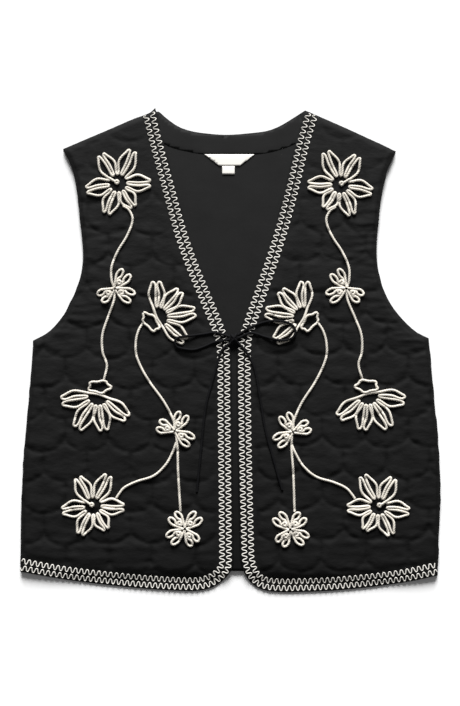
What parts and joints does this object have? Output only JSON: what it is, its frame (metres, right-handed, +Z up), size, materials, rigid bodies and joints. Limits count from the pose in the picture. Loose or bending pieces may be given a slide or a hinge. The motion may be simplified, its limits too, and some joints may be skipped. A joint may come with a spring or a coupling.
{
  "type": "waistcoat",
  "caption": "Sleeveless quilted waistcoat laid flat, its fronts tied edge to edge in a narrow bow, with couched cord flowers and a wavy cord border.",
  "frame": {"origin": "under the middle of the garment's bounding box, on the surface that it lies on", "axes": "+X across the garment towards the side on the right as seen from above, +Y from hem to neck, +Z up from the surface"},
  "size_m": [0.5114, 0.5901, 0.0148],
  "materials": {
    "quilted_cotton": "matt black quilted cotton",
    "lining_cloth": "smooth black lining cloth",
    "cream_cord": "matt cream twisted cotton cord",
    "label_tape": "white woven tape",
    "rouleau": "black tube of folded cotton"
  },
  "bodies": {
    "root": {"back_lining": "lining_cloth", "back_panel": "quilted_cotton", "bow_knot": "rouleau", "chest_blossom_left": "cream_cord", "chest_blossom_right": "cream_cord", "curved_stem_left": "cream_cord", "curved_stem_right": "cream_cord", "front_left": "quilted_cotton", "front_right": "quilted_cotton", "hem_blossom_left": "cream_cord", "hem_blossom_right": "cream_cord", "hem_flower_left": "cream_cord", "hem_flower_right": "cream_cord", "label_tab": "label_tape", "middle_blossom_left": "cream_cord", "middle_blossom_right": "cream_cord", "middle_stem_left": "cream_cord", "middle_stem_right": "cream_cord", "neck_facing": "quilted_cotton", "neck_label": "label_tape", "neckline_flower_left": "cream_cord", "neckline_flower_right": "cream_cord", "shoulder_flower_left": "cream_cord", "shoulder_flower_right": "cream_cord", "shoulder_stem_left": "cream_cord", "shoulder_stem_right": "cream_cord", "side_stem_left": "cream_cord", "side_stem_right": "cream_cord", "straight_stem_left": "cream_cord", "straight_stem_right": "cream_cord", "tie_loop_left": "rouleau", "tie_loop_right": "rouleau", "tie_tail_left": "rouleau", "tie_tail_right": "rouleau", "trim_inner_left": "cream_cord", "trim_inner_right": "cream_cord", "trim_outer_left": "cream_cord", "trim_outer_right": "cream_cord", "waist_flower_left": "cream_cord", "waist_flower_right": "cream_cord"}
  },
  "joints": []
}
